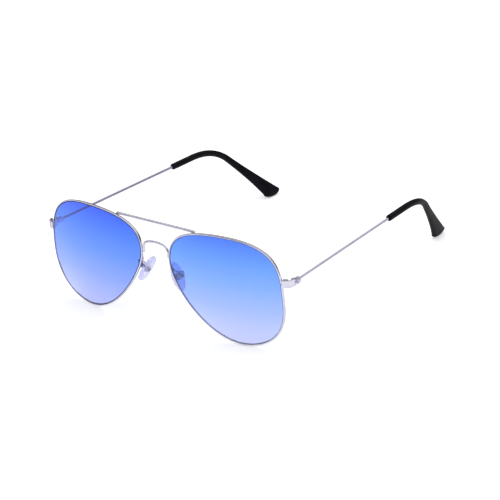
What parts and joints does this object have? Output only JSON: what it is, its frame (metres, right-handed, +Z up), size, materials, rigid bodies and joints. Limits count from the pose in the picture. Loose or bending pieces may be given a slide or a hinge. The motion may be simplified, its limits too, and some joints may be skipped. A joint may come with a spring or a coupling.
{
  "type": "sunglasses",
  "caption": "Wire-framed aviator sunglasses with tinted lenses, a straight brow bar over an arched bridge, rocking nose pads and folding temples.",
  "frame": {"origin": "middle of the bounding box in plan, on the level of the rims' lowest points and the temple tips, where the open glasses stand on a table", "axes": "+X towards the wearer's left, +Y from the lenses back towards the ears, +Z up"},
  "size_m": [0.1404, 0.1458, 0.0509],
  "materials": {
    "frame_metal": "polished silver-coloured plating",
    "screw_steel": "bright machined steel",
    "lens_tint": "clear polymer with a blue tint that fades towards the bottom",
    "pad_silicone": "soft clear silicone",
    "tip_plastic": "satin black acetate"
  },
  "bodies": {
    "front": {"brow_bar": "frame_metal", "nose_bridge": "frame_metal", "rim_left": "frame_metal", "lens_left": "lens_tint", "endpiece_left": "frame_metal", "rim_lock_left": "frame_metal", "rim_screw_left": "screw_steel", "front_hinge_left": "frame_metal", "hinge_screw_left": "screw_steel", "pad_arm_left": "frame_metal", "pad_box_left": "screw_steel", "pad_screw_left": "screw_steel", "rim_right": "frame_metal", "lens_right": "lens_tint", "endpiece_right": "frame_metal", "rim_lock_right": "frame_metal", "rim_screw_right": "screw_steel", "front_hinge_right": "frame_metal", "hinge_screw_right": "screw_steel", "pad_arm_right": "frame_metal", "pad_box_right": "screw_steel", "pad_screw_right": "screw_steel"},
    "temple_left": {"temple_hinge_left": "frame_metal", "temple_wire_left": "frame_metal", "temple_tip_left": "tip_plastic"},
    "temple_right": {"temple_hinge_right": "frame_metal", "temple_wire_right": "frame_metal", "temple_tip_right": "tip_plastic"},
    "nose_pad_left": {"pad_insert_left": "screw_steel", "nose_pad_left": "pad_silicone"},
    "nose_pad_right": {"pad_insert_right": "screw_steel", "nose_pad_right": "pad_silicone"}
  },
  "joints": [
    {"name": "temple_left_fold", "type": "hinge", "parent": "front", "child": "temple_left", "pos_m": [0.0684, -0.06053, 0.03231], "axis": [0, 0, 1], "range_deg": [0, 82]},
    {"name": "temple_right_fold", "type": "hinge", "parent": "front", "child": "temple_right", "pos_m": [-0.0684, -0.06053, 0.03231], "axis": [0, 0, -1], "range_deg": [0, 74]},
    {"name": "nose_pad_left_rock", "type": "hinge", "parent": "front", "child": "nose_pad_left", "pos_m": [0.011, -0.06793, 0.02642], "axis": [-0.1119, -0.9757, 0.1886], "range_deg": [-10, 10]},
    {"name": "nose_pad_right_rock", "type": "hinge", "parent": "front", "child": "nose_pad_right", "pos_m": [-0.011, -0.06793, 0.02642], "axis": [0.1119, -0.9757, 0.1886], "range_deg": [-10, 10]}
  ]
}
